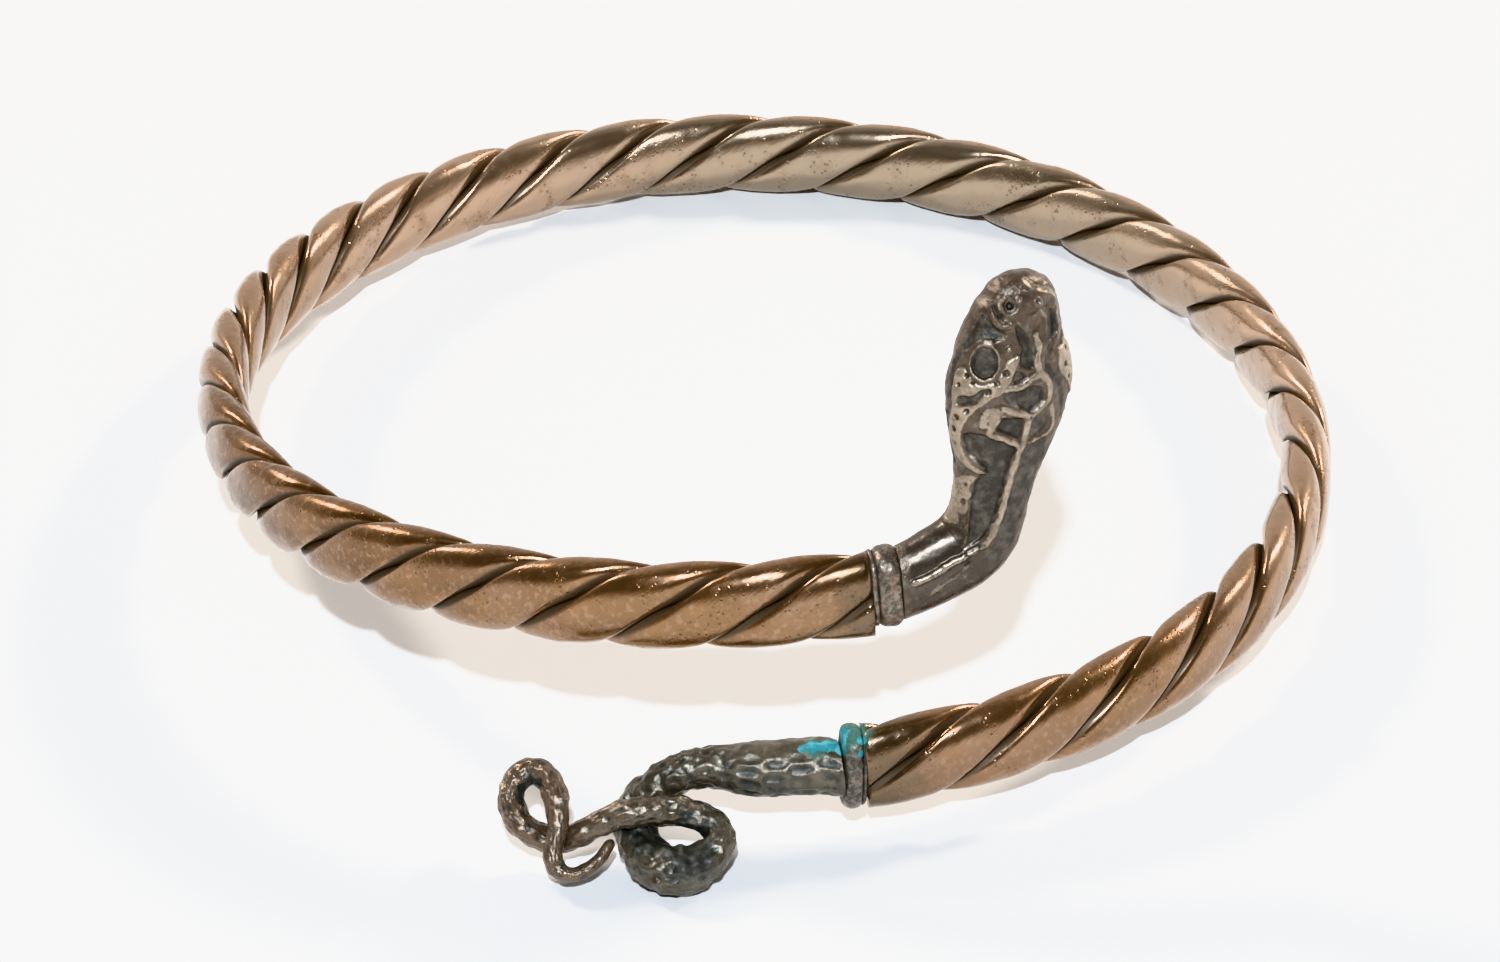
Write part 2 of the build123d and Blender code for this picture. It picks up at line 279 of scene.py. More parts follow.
def lamp(name, turn, rise, size, power, colour):
    """A round soft light that faces the bracelet: degrees, metres and watts."""
    data = bpy.data.lights.new(name, "AREA")
    data.shape = "DISK"
    data.size = size
    data.energy = power
    data.color = colour
    light = add_object(name, data)
    turn, rise = radians(turn), radians(rise)
    way = Vector((cos(turn) * cos(rise), sin(turn) * cos(rise), sin(rise)))
    light.location = way * lamp_distance
    light.rotation_euler = light.location.to_track_quat("Z", "Y").to_euler()


lamp("over_camera", -92, 48, 0.045, 19.0, cool_light)
lamp("behind_right", 30, 37.5, 0.18, 11.0, warm_light)
lamp("behind_left", 143, 38.5, 0.18, 9.6, warm_light)
bpy.context.scene.view_settings.view_transform = "Khronos PBR Neutral"
print("lit by", [o.name for o in bpy.context.scene.objects if o.type == "LIGHT"])

# %% [markdown]
# ## The ring's line
#
# Everything follows one line round the wrist, which was bent by hand and is neither round
# nor flat. It could be a curve object, but a formula gives its place and its directions at
# any angle at once, so thousands of points can be bent round it together. These are the
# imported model's own sizes, in millimetres and degrees.

# %% Vector helpers for whole lists of points
def unit(vectors):
    return vectors / np.linalg.norm(vectors, axis=-1, keepdims=True)


def dot(first, second):
    return np.sum(first * second, axis=-1, keepdims=True)


def flatten(vectors, normal):
    """The unit vectors nearest to these that are square to a unit normal."""
    return unit(vectors - normal * dot(vectors, normal))


def smooth_step(share):
    share = np.clip(share, 0, 1)
    return share * share * (3 - 2 * share)


def window(places, start, fade_in, end, fade_out):
    """1 between start and end and 0 outside them, with a soft edge inside each."""
    return smooth_step((places - start) / fade_in) * smooth_step((end - places) / fade_out)


def swelling(out, up, squareness):
    """How far a squarish oval stands out from a circle in each direction."""
    return (abs(out) ** squareness + abs(up) ** squareness) ** (-1 / squareness)


def through(rows, places):
    """Smooth curves through evenly spaced rows, read at places counted in rows."""
    rows = np.array(rows, float)
    rows = np.vstack([2 * rows[0] - rows[1], rows, 2 * rows[-1] - rows[-2]])
    row = np.clip(places.astype(int), 0, len(rows) - 4)
    part = (places - row)[:, None]
    a, b, c, d = (rows[row + step] for step in range(4))
    bend = (2 * a - 5 * b + 4 * c - d) * part**2 + (3 * b - a - 3 * c + d) * part**3
    return 0.5 * (2 * b + (c - a) * part + bend)


# %% The line and its directions
ring_radius, ring_opening, ring_climb, ring_lift = 33.0, 2.6, 10.0, 6.05
tail_angle, head_angle = -80.0, 281.0
lean_height, lean_angle = 3.45, -73.0
oval_depth, oval_angle = 0.87, 114.0
kink_depth, kink_angle = 0.20, 72.0
bow_height = 0.23
ring_span = head_angle - tail_angle
lean = np.radians(lean_angle)
wrist_axis = unit(np.array([-lean_height * np.cos(lean), -lean_height * np.sin(lean), ring_radius]))


def ring_point(angles):
    """Middle of the band at each angle."""
    share = (angles - tail_angle) / ring_span - 0.5
    radius = ring_radius - ring_opening * share
    radius += oval_depth * np.cos(np.radians(2 * (angles - oval_angle)))
    radius += kink_depth * np.cos(np.radians(3 * (angles - kink_angle)))
    height = ring_lift + ring_climb * share - bow_height * np.cos(np.radians(2 * angles))
    height += lean_height * np.cos(np.radians(angles - lean_angle))
    turn = np.radians(angles)
    return np.stack([radius * np.cos(turn), radius * np.sin(turn), height], axis=-1)


def ring_frame(angles):
    """Middle of the band, and the directions along it, out of the ring and up."""
    along = unit(ring_point(angles + 0.5) - ring_point(angles - 0.5))
    turn = np.radians(angles)
    radial = np.stack([np.cos(turn), np.sin(turn), np.zeros_like(turn)], axis=-1)
    outward = flatten(flatten(radial, wrist_axis), along)
    return ring_point(angles), along, outward, np.cross(outward, along)


quarters = ring_point(np.array([-90.0, 0.0, 90.0, 180.0, 270.0]))
print("ring's line at each quarter, mm:", np.round(quarters, 1).tolist())

# %% [markdown]
# ## From a plain tube to a piece
#
# Each long piece starts the same way: a small ring of points is pulled upwards in many
# steps by the spin operator, which also turns it when it is given an angle, so a screw
# comes from the same line of code as a tube. Then every point of that upright tube is
# moved by a formula to its place in the bracelet. The alternative, a curve with a bevel,
# would not give the flattened section or the cast relief.

# %% Tube
lengths_per_tube = 12
merge_reach = 1e-4
tip_closing = 0.999  # how far a tube closes at its tip, just short of a single point


def tube(points, steps, twist=0.0, shape=None):
    """A closed upright tube one unit tall, whose section is a circle or a shape of it.

    One length of it is spun first and then repeated, which is quicker than one long spin."""
    mesh = bmesh.new()
    bmesh.ops.create_circle(mesh, segments=points, radius=1)
    for vert in mesh.verts:
        if shape:
            vert.co = shape(vert.co)
    count = lengths_per_tube
    screw = {"cent": (0, 0, 0), "axis": (0, 0, 1)}
    bmesh.ops.spin(mesh, geom=mesh.verts[:] + mesh.edges[:], dvec=(0, 0, 1 / steps),
                   angle=twist / count, steps=steps // count, **screw)
    bmesh.ops.spin(mesh, geom=mesh.verts[:] + mesh.edges[:] + mesh.faces[:], dvec=(0, 0, 1 / count),
                   angle=twist * (count - 1) / count, steps=count - 1, use_duplicate=True, **screw)
    bmesh.ops.remove_doubles(mesh, verts=mesh.verts, dist=merge_reach)
    rims = [edge for edge in mesh.edges if edge.is_boundary]
    caps = bmesh.ops.holes_fill(mesh, edges=rims)["faces"]
    bmesh.ops.poke(mesh, faces=caps)
    bmesh.ops.recalc_face_normals(mesh, faces=mesh.faces)
    return mesh


# %% A piece made from a tube
def corners(mesh):
    """How far out each point of an upright mesh is, its turn in radians and its rise."""
    x, y, rise = np.array([vert.co for vert in mesh.verts]).T
    return np.hypot(x, y), np.arctan2(y, x), rise


def make_piece(name, mesh, points, finish, nodes, marks):
    """A smooth piece from a mesh whose points are moved to new places, in millimetres."""
    data = bpy.data.meshes.new(name)
    mesh.to_mesh(data)
    mesh.free()
    marks = {**marks, "crust": nearness(points, crust_spots),
             "stain": nearness(points, stain_spots)}
    data.vertices.foreach_set("co", (points * MM).ravel())
    for mark, values in marks.items():
        wide = values.ndim == 2
        attribute = data.attributes.new(mark, "FLOAT_VECTOR" if wide else "FLOAT", "POINT")
        attribute.data.foreach_set("vector" if wide else "value", values.astype(float).ravel())
    data.shade_smooth()
    data.materials.append(finish)
    data.update()
    made = add_object(name, data)
    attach(made, "root")
    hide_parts(*nodes)
    low, high = points.min(axis=0), points.max(axis=0)
    print(name, len(data.polygons), "faces, mm", np.round(low, 2), np.round(high, 2))
    return made


def roughen(points, size, height, seed, octaves=3):
    """How far cloudy noise moves each point, for lumps of about that size, in millimetres."""
    shift = Vector((seed * 17.3, seed * 5.1, seed * 29.7))
    values = [noise.fractal(Vector(point) / size + shift, 1.0, 2.0, octaves) for point in points]
    return height * np.array(values)


# %% [markdown]
# ## Where verdigris grows
#
# Damp that stayed in the corner between the tail and its collar turned the copper there to
# a turquoise crust. Each piece that it touches holds at every point how near the crust is,
# so that one finish after another can let it grow over its edges.

# %% Crust and stain
Spot = namedtuple("Spot", "x y z size")
crust_deep, crust_pale = (0.03, 0.19, 0.23), (0.07, 0.31, 0.35)
stain_green = (0.018, 0.13, 0.105)
crust_spots = [
    (4.40, -34.75, 6.60, 0.90),
    (3.70, -34.85, 6.45, 0.60),
    (3.00, -34.90, 6.25, 0.50),
    (2.40, -34.95, 6.10, 0.36),
    (5.68, -35.30, 6.95, 0.30),
    (5.70, -35.80, 6.40, 0.26),
    (5.72, -36.15, 5.80, 0.20),
]
stain_spots = [
    (5.0, -34.6, 7.0, 1.6),
    (3.2, -34.9, 6.2, 0.9),
    (4.2, -33.2, 5.4, 1.3),
]


def nearness(points, spots):
    """1 in the middle of a spot, 0 at its rim and less beyond, for the nearest spot."""
    found = np.full(len(points), -1.0)
    for spot in map(Spot._make, spots):
        gap = np.linalg.norm(points - np.array(spot[:3]), axis=1)
        found = np.maximum(found, 1 - gap / spot.size)
    return found


def verdigris(finish, colour, rough, metallic):
    """Lays the turquoise crust and the green stain round it over a finish."""
    ragged = 1.1 * (finish.mottle(0.45, detail=4) - 0.5)
    crust = finish.step(finish.attribute("crust") + ragged, 0.02, 0.16)
    stain = finish.step(finish.attribute("stain") + ragged, 0.0, 0.5)
    pale = finish.step(finish.mottle(0.5), 0.42, 0.62)
    colour = finish.blend(0.75 * stain, colour, stain_green)
    colour = finish.blend(crust, colour, finish.blend(pale, crust_deep, crust_pale))
    rough = rough + crust * (0.8 - rough) + 0.25 * stain
    return colour, rough, metallic * (1 - crust) * (1 - 0.6 * stain)


print(len(crust_spots), "spots of crust and", len(stain_spots), "of stain")


# %% [markdown]
# ## The twisted strands
#
# The maker twisted three thick copper wires like a rope and hammered the rope flat. So
# each strand is a wedge of the band, full and round outside and cut off at the two grooves
# where it meets its neighbours. One wedge is pulled up as a screw, and the screw is then
# pressed flat and bent round the ring's line. The turns were counted in the photograph at
# each eighth of the ring, because hand twisting is never even.

# %% One strand's section
band_height, band_depth, band_squareness = 5.3, 3.1, 2.4
strand_count = 3
strand_half = pi / strand_count  # half the turn that one strand fills
strand_roundness = 0.13  # share of its reach that a strand loses evenly to its edges
groove_depth, groove_sharpness = 0.34, 9.5
strand_play = 0.03  # share of that half left free beside each neighbour
core_reach = 0.05
outside_share = 0.84  # share of the section's points on the strand's outside


def wedge(point):
    """Moves a point of a circle to one strand's wedge of a round rope."""
    share = atan2(point.y, point.x) / pi / outside_share
    side = min(max(share, -1), 1)
    reach = 1 - strand_roundness * side**2 - groove_depth * abs(side) ** groove_sharpness
    if abs(share) > 1:
        inward = (abs(share) - 1) * outside_share / (1 - outside_share)
        reach += (core_reach - reach) * inward
    turn = side * strand_half * (1 - strand_play)
    return Vector((reach * cos(turn), reach * sin(turn), 0))


# %% Twist, press flat and bend round
strand_points = 44
steps_per_turn = 60
rope_radius = (band_height + band_depth) / 4  # of the rope before it was pressed flat
# turns counted at each eighth of the ring, from the tail to the head
twist_turns = [-0.08, 1.46, 2.96, 4.42, 5.94, 7.49, 9.07, 10.54, 12.02]
all_turns = twist_turns[-1] - twist_turns[0]
dent_size, dent_height = 1.6, 0.035
strand_tuck = 0.45  # degrees by which the strands run on into the tail's collar


def twisted_strand(name, number, node, finish):
    steps = lengths_per_tube * round(all_turns * steps_per_turn / lengths_per_tube)
    mesh = tube(strand_points, steps, 2 * pi * all_turns, wedge)
    reach, turn, rise = corners(mesh)
    angles = tail_angle + (ring_span + strand_tuck) * rise - strand_tuck
    counted = through([(turns,) for turns in twist_turns], rise * (len(twist_turns) - 1))[:, 0]
    side = (turn - 2 * pi * all_turns * rise + pi) % (2 * pi) - pi
    theta = side + 2 * pi * (counted + (number + 0.5) / strand_count)
    out, up = np.cos(theta), np.sin(theta)
    swell = swelling(out, up, band_squareness)
    middle, _, outward, upward = ring_frame(angles)
    spread = outward * (band_depth / 2 * out * swell)[:, None]
    spread += upward * (band_height / 2 * up * swell)[:, None]
    points = middle + spread * reach[:, None]
    dents = roughen(points, dent_size, dent_height, number) - dent_height / 2
    points += unit(spread) * (dents * reach**2)[:, None]
    length = np.hypot(np.radians(angles) * ring_radius, theta * rope_radius)
    lie = np.stack([length, side * rope_radius, reach], axis=-1)
    marks = {"reach": reach, "lie": lie, "run": rise, "facing": out}
    return make_piece(name, mesh, points, finish, [node], marks)


# %% Copper of the strands
copper_dull, copper_clear = (0.268, 0.157, 0.084), (0.295, 0.182, 0.112)
# painted light: the strands are made paler towards the back of the ring, for the brighter
# reflections they show there
copper_pale_painted_light = (0.50, 0.350, 0.245)  # towards the back of the ring
# painted shade: the strands are darkened in front on the left, for the darker reflections they show
# there
copper_brown_painted_shade = (0.135, 0.072, 0.036)  # in front on the left
copper_golden, copper_rubbed = (0.33, 0.185, 0.085), (0.42, 0.285, 0.195)
patina_red, patina_streak = (0.23, 0.125, 0.060), (0.19, 0.12, 0.075)
patina_olive = (0.115, 0.096, 0.068)  # at both ends of the band
patina_grey = (0.32, 0.28, 0.21)  # on the inside of the ring's back
# dirt and painted shade: the strands are darkened at their edges and in the grooves between them,
# where shade falls
speck_dark, edge_dirt_and_shade = (0.08, 0.045, 0.025), (0.11, 0.07, 0.045)
groove_dirt_and_shade = (0.085, 0.060, 0.038)


def strand_copper():
    copper = Finish("worn_copper")
    reach = copper.attribute("reach")
    lie = copper.attribute("lie", "Vector")
    out = copper.attribute("facing")
    # masks for the dirt and painted shade at the strands' edges and in their grooves
    groove = copper.step(reach, 0.83, 0.72)
    edge = copper.step(reach, 0.90, 0.74)
    cloud = copper.mottle(6.0, detail=4)
    patch = copper.mottle(1.7, detail=5, roughness=0.65)
    grain = copper.mottle(0.35, detail=3, roughness=0.6)
    strokes = copper.mottle(1.0, detail=4, place=copper.stretched(lie, (0.35, 7.0, 1.0)))
    x, y = copper.split(copper.place, "X"), copper.split(copper.place, "Y")
    back = (y + 0.4 * x) / MM + 14 * cloud
    # painted shade: where the strands are darkened on the left
    left_shade = copper.step(x / MM + 8 * cloud, 0, -26)
    golden = copper.step(copper.mottle(3.2, detail=3), 0.50, 0.64)
    run = copper.attribute("run") + 0.03 * (patch - 0.5)
    ends = copper.step(run, 0.022, 0.004) + copper.step(run, 0.985, 0.998)
    grey = copper.step(back, 26, 42) * copper.step(out, 0.2, -0.4)
    specks = copper.step(copper.cells(0.33), 0.34, 0.14) * copper.step(patch, 0.47, 0.60)
    clouds = copper.blend(copper.step(cloud, 0.38, 0.62), copper_dull, copper_clear)
    colour = copper.layered(clouds, [
        # painted light: paler towards the back of the ring
        (0.8 * copper.step(back, -12, 22), copper_pale_painted_light),
        # painted shade: darker in front on the left
        (0.75 * left_shade * copper.step(back, 2, -16), copper_brown_painted_shade),
        (0.4 * golden * copper.step(back, 20, 0), copper_golden),
        (0.5 * copper.step(grain, 0.50, 0.68), copper_rubbed),
        (0.5 * copper.step(patch, 0.50, 0.70), patina_red),
        (0.3 * copper.step(strokes, 0.55, 0.75), patina_streak),
        (0.65 * ends, patina_olive),
        (0.6 * grey, patina_grey),
        (0.5 * specks, speck_dark),
        (0.5 * edge, edge_dirt_and_shade),
        (groove, groove_dirt_and_shade),
    ])
    rough = 0.15 + 0.12 * copper.step(patch, 0.4, 0.7) + 0.08 * strokes + 0.40 * groove
    colour, rough, metallic = verdigris(copper, colour, rough, 0.88 - 0.65 * groove)
    normal = copper.bump(strokes, 0.010)
    normal = copper.bump(patch + 0.25 * grain - 0.8 * specks, 0.022, normal)
    return copper.surface(Base_Color=colour, Metallic=metallic, Roughness=rough, Normal=normal,
                          Coat_Weight=0.25 * (1 - groove), Coat_Roughness=0.13)


copper = strand_copper()
twisted_strand("strand_one", 0, "strand_a", copper)
twisted_strand("strand_two", 1, "strand_b", copper)
twisted_strand("strand_three", 2, "strand_c", copper)

# %% [markdown]
# ## The collars
#
# Each cast end meets the band in a short rolled rim that hides the solder. It is a flat
# oval, fat in the middle and drawn in at both ends, with a lumpy skin.

# %% Collar
collar_points, collar_steps = 132, 48
collar_squareness, bead_roundness = 2.7, 2.6
collar_shoulder, rim_shoulder, rim_curl = 0.42, 0.16, 0.15  # how far they are drawn in
lump_size, lump_height = 0.9, 0.07
seam_width = 0.04  # of the dark seam between rim and bead, as a share of the length
tiny = 1e-6  # keeps a direction from having no length


def collar(name, node, size, seat, way, upward, finish):
    """A rolled bead with a flat rim, which fills the first share of its length."""
    mesh = tube(collar_points, collar_steps)
    reach, turn, rise = corners(mesh)
    out, up = np.cos(turn), np.sin(turn)
    swell = swelling(out, up, collar_squareness)
    rim = size.rim
    end = np.where(rise < rim, 1 - rise / rim, abs(2 * (rise - rim) / (1 - rim) - 1))
    bead = collar_shoulder * (1 - np.sqrt(np.clip(1 - end**bead_roundness, 0, 1)))
    bead = np.minimum(bead, collar_shoulder)
    drawn = np.where(rise < rim, rim_shoulder + rim_curl * end**4, bead)
    outward = np.cross(upward, way)
    spread = outward * (out * swell * (size.depth / 2 - drawn) * reach)[:, None]
    spread = spread + upward * (up * swell * (size.height / 2 - drawn) * reach)[:, None]
    points = seat + way * (rise * size.length)[:, None] + spread
    lumps = (roughen(points, lump_size, lump_height, size.seed) - lump_height / 2) * reach
    points += unit(spread + way * tiny) * lumps[:, None]
    seam = 0.8 * np.exp(-(((rise - rim) / seam_width) ** 2))
    seam += 0.7 * smooth_step((rise - 0.90) / 0.10)
    marks = {"height": lumps, "seam": seam}
    return make_piece(name, mesh, points, finish, [node], marks)


CollarSize = namedtuple("CollarSize", "length height depth rim seed")
head_collar = CollarSize(1.7, 4.8, 3.2, rim=0.18, seed=4)
tail_collar = CollarSize(1.6, 5.4, 3.4, rim=0.16, seed=5)
head_collar_lift = 0.25
tail_tuck = 0.25  # the tail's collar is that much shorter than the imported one,
height_less, depth_less = 0.4, 0.2  # and that much lower and thinner
tail_tilt = 0.10  # it was soldered on a little out of square


def band_end(angle):
    """Middle of one end of the band, and the directions along it and up."""
    middle, along, _, upward = (vectors[0] for vectors in ring_frame(np.array([angle])))
    return middle, along, upward


head_middle, head_along, head_upward = band_end(head_angle)
tail_seat, tail_along, tail_upward = band_end(tail_angle)
head_seat = head_middle + head_upward * head_collar_lift
print("the band ends at", np.round(head_seat, 2), "and", np.round(tail_seat, 2))


# %% Speckled metal of the collars
collar_copper = (0.20, 0.125, 0.08)
dent_dark, seam_dark = (0.05, 0.05, 0.042), (0.045, 0.042, 0.036)


def collar_metal(name, colour, dark):
    metal = Finish(name)
    cloud = metal.mottle(1.3, detail=4)
    grain = metal.mottle(0.28, detail=4, roughness=0.7)
    fine = metal.mottle(0.12)
    speckle = metal.step(grain + 0.5 * (cloud - 0.5), 0.44, 0.60)
    low = metal.step(metal.attribute("height"), -0.03, -0.09)
    seam = metal.attribute("seam")
    tint = metal.layered(metal.blend(speckle, dark, colour), [
        (0.6 * metal.step(cloud, 0.50, 0.66), collar_copper),
        (0.6 * low, dent_dark),
        (0.85 * seam, seam_dark),
    ])
    rough = 0.30 + 0.16 * (1 - speckle) + 0.2 * seam
    tint, rough, metallic = verdigris(metal, tint, rough, 0.75 - 0.3 * seam)
    normal = metal.bump(grain + 0.2 * fine, 0.022)
    return metal.surface(Base_Color=tint, Metallic=metallic, Roughness=rough, Normal=normal)


head_solder = collar_metal("head_solder", (0.28, 0.235, 0.195), (0.12, 0.10, 0.08))
tail_solder = collar_metal("tail_solder", (0.24, 0.21, 0.175), (0.11, 0.10, 0.085))
tucked = tail_collar._replace(length=tail_collar.length - tail_tuck,
                              height=tail_collar.height - height_less,
                              depth=tail_collar.depth - depth_less)
collar("collar_of_head", "head_collar", head_collar, head_seat, head_along, head_upward,
       head_solder)
collar("collar_of_tail", "tail_collar", tucked, tail_seat - tail_along * tail_tuck,
       unit(tail_upward * tail_tilt - tail_along), unit(tail_upward + tail_along * tail_tilt),
       tail_solder)

# %% [markdown]
# ## The head
#
# The head was cast, and its neck leaves the collar along the band and bends up. A sculptor
# would pull it out of a clay block. Here the same tube is drawn along a bent middle line,
# with a width and a depth for each row of a table, and the cast relief is then raised out
# of its smooth skin.

# %% The smooth head
neck_run, head_rise, head_width, head_depth = 7.2, 17.8, 7.4, 4.5
head_flatness, underside_squareness = 0.9, 0.7
head_crowding = 0.28
# each row as shares of the four sizes above
HeadRow = namedtuple("HeadRow", "run rise width depth")
head_rows = [
    (0.00, 0.000, 0.60, 0.64),
    (0.15, 0.018, 0.61, 0.66),
    (0.30, 0.040, 0.62, 0.70),
    (0.51, 0.076, 0.64, 0.74),
    (0.64, 0.125, 0.64, 0.76),
    (0.71, 0.193, 0.61, 0.76),
    (0.765, 0.280, 0.63, 0.76),
    (0.81, 0.365, 0.71, 0.82),
    (0.845, 0.437, 0.82, 0.90),
    (0.875, 0.505, 0.92, 0.97),
    (0.90, 0.567, 0.97, 1.00),
    (0.92, 0.644, 1.00, 1.00),
    (0.93, 0.705, 0.94, 0.97),
    (0.94, 0.767, 0.86, 0.90),
    (0.975, 0.844, 0.76, 0.80),
    (1.00, 0.915, 0.63, 0.68),
    (1.00, 0.962, 0.47, 0.54),
    (1.00, 0.987, 0.30, 0.38),
    (1.00, 1.000, 0.12, 0.18),
]
head_last = len(head_rows) - 1
root_rows = 2  # rows over which a cast end turns from its collar into its own path
near = 0.02  # share of a row over which a direction is taken
neck_root = head_seat + head_along * head_collar.length
neck_radius = np.hypot(neck_root[0], neck_root[1])
print("the neck starts at", np.round(neck_root, 2), "and rises", head_rise, "mm")


def turned_round_wrist(point, angles):
    """A point turned about the wrist's axis by each of some angles, in radians."""
    beside = np.cross(wrist_axis, point)
    level = wrist_axis * dot(wrist_axis, point)
    return (point - level) * np.cos(angles) + beside * np.sin(angles) + level


def way_along(middle_line, places, last, first_way):
    """The way a middle line runs at each place, once it has left its collar the first way."""
    ahead = middle_line(np.minimum(places + near, last))[0]
    behind = middle_line(np.maximum(places - near, 0))[0]
    share = np.minimum(places / root_rows, 1)[:, None]
    return unit(first_way * (1 - share) + unit(ahead - behind) * share)


def head_middle_line(places):
    """Middle of the head at places counted in rows, and its width and depth there."""
    rows = HeadRow._make(through(head_rows, places).T[:, :, None])
    middle = turned_round_wrist(neck_root, rows.run * neck_run / neck_radius)
    middle = middle + wrist_axis * (rows.rise * head_rise)
    return middle, rows.width * head_width, rows.depth * head_depth


def head_skin(places, turns):
    """Points of the smooth head at places counted in rows and turns in degrees."""
    middle, width, depth = head_middle_line(places)
    along = way_along(head_middle_line, places, head_last, head_along)
    outward = flatten(flatten(middle - np.array([0, 0, ring_lift]), wrist_axis), along)
    sideways = np.cross(along, outward)
    out, side = np.cos(np.radians(turns)), np.sin(np.radians(turns))
    under = -np.maximum(-out, 0) ** underside_squareness * head_flatness
    out = np.where(out < 0, under, out)
    return middle + (outward * out[:, None] * depth + sideways * side[:, None] * width) / 2


# %% [markdown]
# ## Cast relief
#
# The mould was carved with flat bands, sunken cells and punched dots. Sculpting by hand
# can't be repeated from a script, so each mark is a line or an outline drawn on the skin,
# as places along the head and turns round it, less than 0 on the side whose eye shows.
# Later marks cover earlier ones, as paint does: each sets how high the skin stands there,
# and whether it is worn bright (more than 0) or filled with dark patina (less than 0). On two
# marks near the snout the brightness is a painted highlight.

# %% Lines and outlines on the skin
samples_per_part = 6
mark_edge = 0.17  # width of the slope at a mark's edge, in millimetres
mark_wobble = 0.07  # how far a mark's edge strays, in millimetres
outline_reach = 1.0  # how far from an outline the distance to it is measured
Line = namedtuple("Line", "width height shade chain")
Cell = namedtuple("Cell", "height shade round outline")
Dot = namedtuple("Dot", "size height shade place turn tall", defaults=(1.0,))


def smooth_chain(chain, closed=False):
    """A smooth curve of places and turns through the points of a chain or an outline."""
    count = len(chain)
    if closed:
        return through(chain * 3, np.linspace(count, 2 * count, count * samples_per_part + 1))
    return through(chain, np.linspace(0, count - 1, (count - 1) * samples_per_part + 1))


def distance_to(points, line, reach):
    """Distance from each point to a line of points, or reach where it is further."""
    nearest = np.full(len(points), float(reach))
    low, high = line.min(axis=0) - reach, line.max(axis=0) + reach
    close = np.flatnonzero(np.all((points > low) & (points < high), axis=1))
    for start, end in zip(line, line[1:]):
        way = end - start
        share = np.clip((points[close] - start) @ way / max(way @ way, tiny**2), 0, 1)
        gap = np.linalg.norm(points[close] - start - share[:, None] * way, axis=1)
        nearest[close] = np.minimum(nearest[close], gap)
    return nearest


def inside(places, turns, outline):
    """Whether each place and turn lies inside a closed outline."""
    within = np.zeros(len(places), bool)
    for (place_a, turn_a), (place_b, turn_b) in zip(outline, outline[1:]):
        crossed = (place_a > places) != (place_b > places)
        step = place_b - place_a
        at = turn_a + (turn_b - turn_a) * (places - place_a) / (step if step else 1)
        within ^= crossed & (turns < at)
    return within


def depth_in_mark(mark, points, places, turns):
    """How far inside a mark's edge each point lies, in millimetres, less than 0 outside."""
    if isinstance(mark, Line):
        line = head_skin(*smooth_chain(mark.chain).T)
        return mark.width / 2 - distance_to(points, line, 2 * mark.width)
    if isinstance(mark, Dot):
        middle = head_skin(np.array([mark.place]), np.array([float(mark.turn)]))
        gap = points - middle
        gap = gap - wrist_axis * dot(gap, wrist_axis) * (1 - 1 / mark.tall)
        return mark.size / 2 - np.linalg.norm(gap, axis=1)
    if mark.round:
        outline = smooth_chain(mark.outline, closed=True)
    else:
        outline = np.array(mark.outline + mark.outline[:1], float)
    parts = np.linspace(outline[:-1], outline[1:], samples_per_part, axis=1)
    line = head_skin(*parts.reshape(-1, 2).T)
    gap = distance_to(points, line, outline_reach)
    return np.where(inside(places, turns, outline), gap, -gap)


